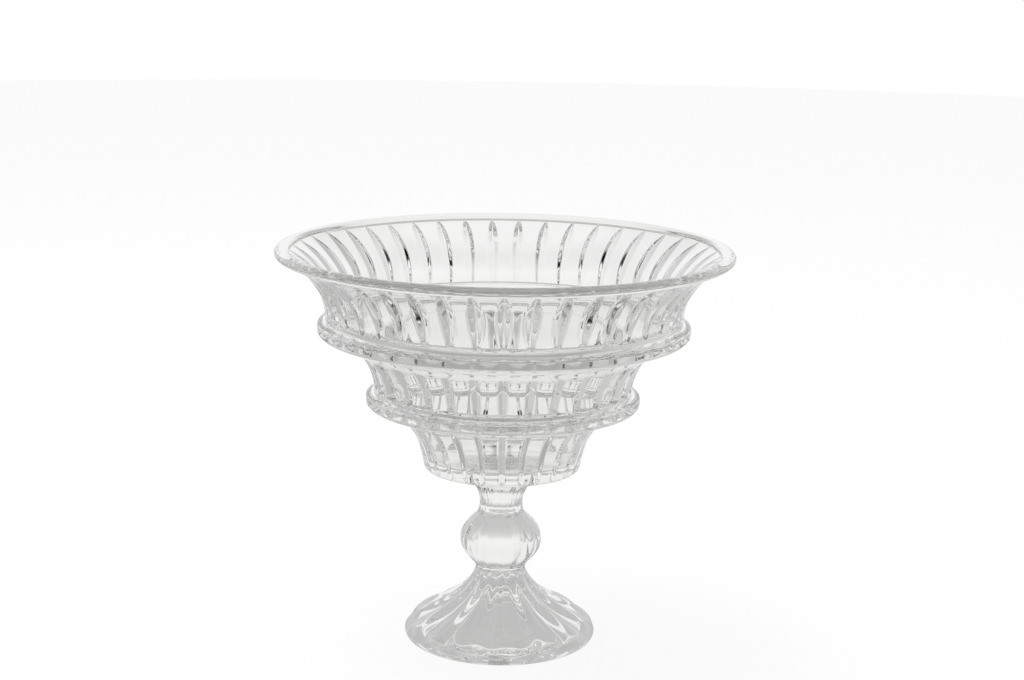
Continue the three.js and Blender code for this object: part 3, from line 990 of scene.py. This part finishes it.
def pale_table(scene, look):
    """The round table top that the bowl stands on."""
    turns = [math.tau * i / TABLE_SIDES for i in range(TABLE_SIDES)]
    mesh = bpy.data.meshes.new("table")
    ring = [(TABLE_REACH * math.cos(turn), TABLE_REACH * math.sin(turn), 0) for turn in turns]
    mesh.from_pydata(ring, [], [list(range(TABLE_SIDES))])
    mesh.materials.append(floor_material(look))
    table = bpy.data.objects.new("table", mesh)
    scene.collection.objects.link(table)


def soft_light(scene):
    """A square softbox above the bowl, which the glass doesn't show."""
    data = bpy.data.lights.new("softbox_above", "AREA")
    data.shape = "RECTANGLE"
    data.size = data.size_y = SOFTBOX_WIDTH
    data.energy = SOFTBOX_POWER
    light = bpy.data.objects.new("softbox_above", data)
    scene.collection.objects.link(light)
    light.location = SOFTBOX_PLACE
    way = Vector(SOFTBOX_TARGET) - Vector(SOFTBOX_PLACE)
    light.rotation_euler = way.to_track_quat("-Z", "Y").to_euler()
    light.visible_glossy = False
    light.visible_transmission = False


def front_camera(scene, look):
    """The camera in front of the bowl, higher than its rim."""
    data = bpy.data.cameras.new("camera")
    data.sensor_width = SENSOR_WIDTH
    data.lens = look.focal
    data.shift_x = look.shift
    camera = bpy.data.objects.new("camera", data)
    scene.collection.objects.link(camera)
    camera.location = (0, -look.distance, look.eye_height)
    tilt = Matrix.Rotation(math.pi / 2 - look.pitch, 3, "X") @ Matrix.Rotation(look.roll, 3, "Z")
    camera.rotation_euler = tilt.to_euler()
    scene.camera = camera


class BOWL_OT_stage(bpy.types.Operator):
    """Makes the table, the studio round it, the soft light and the camera"""

    bl_idname = "bowl.stage"
    bl_label = "Stage"

    def execute(self, context):
        scene = context.scene
        look = scene.bowl_studio
        pale_table(scene, look)
        studio_world(look)
        soft_light(scene)
        front_camera(scene, look)
        scene.view_settings.view_transform = "Standard"
        scene.cycles.max_bounces = CLEAR_BOUNCES
        scene.cycles.transmission_bounces = CLEAR_BOUNCES
        scene.cycles.glossy_bounces = GLOSSY_BOUNCES
        return {"FINISHED"}


class BOWL_PT_panel(bpy.types.Panel):
    """Lists the bowl's pieces and sizes"""

    bl_idname = "BOWL_PT_panel"
    bl_label = "Crystal bowl"
    bl_space_type = "VIEW_3D"
    bl_region_type = "UI"
    bl_category = "Crystal Bowl"

    def draw(self, context):
        """Buttons for the pieces, then their sizes and looks."""
        for operator in OPERATORS:
            self.layout.operator(operator.bl_idname)
        for name in GROUPS:
            group = getattr(context.scene, name)
            box = self.layout.box()
            box.label(text=name)
            for prop in group.__annotations__:
                box.prop(group, prop)


GROUPS = {
    "bowl_flutes": FluteSizes,
    "bowl_lip": LipSizes,
    "bowl_upper": UpperTierSizes,
    "bowl_middle": MiddleTierSizes,
    "bowl_cup": LowerCupSizes,
    "bowl_neck": NeckSizes,
    "bowl_knop": KnopSizes,
    "bowl_foot": FootSizes,
    "bowl_bonds": BondSizes,
    "bowl_crystal": CrystalLook,
    "bowl_studio": StudioLook,
}
OPERATORS = (
    BOWL_OT_upper_tier,
    BOWL_OT_middle_tier,
    BOWL_OT_lower_cup,
    BOWL_OT_neck,
    BOWL_OT_knop,
    BOWL_OT_foot,
    BOWL_OT_bonds,
    BOWL_OT_stage,
)


def register():
    """Registers the classes and hangs the sizes on the scene."""
    for kind in (*GROUPS.values(), *OPERATORS, BOWL_PT_panel):
        bpy.utils.register_class(kind)
    for name, kind in GROUPS.items():
        setattr(bpy.types.Scene, name, PointerProperty(type=kind))


def unregister():
    """Takes both away again."""
    for name in GROUPS:
        delattr(bpy.types.Scene, name)
    for kind in (BOWL_PT_panel, *reversed(OPERATORS), *reversed(GROUPS.values())):
        bpy.utils.unregister_class(kind)


def main():
    """Builds every piece and the stage."""
    register()
    bpy.ops.bowl.upper_tier()
    bpy.ops.bowl.middle_tier()
    bpy.ops.bowl.lower_cup()
    bpy.ops.bowl.neck()
    bpy.ops.bowl.knop()
    bpy.ops.bowl.foot()
    bpy.ops.bowl.bonds()
    bpy.ops.bowl.stage()


if __name__ == "__main__":
    main()
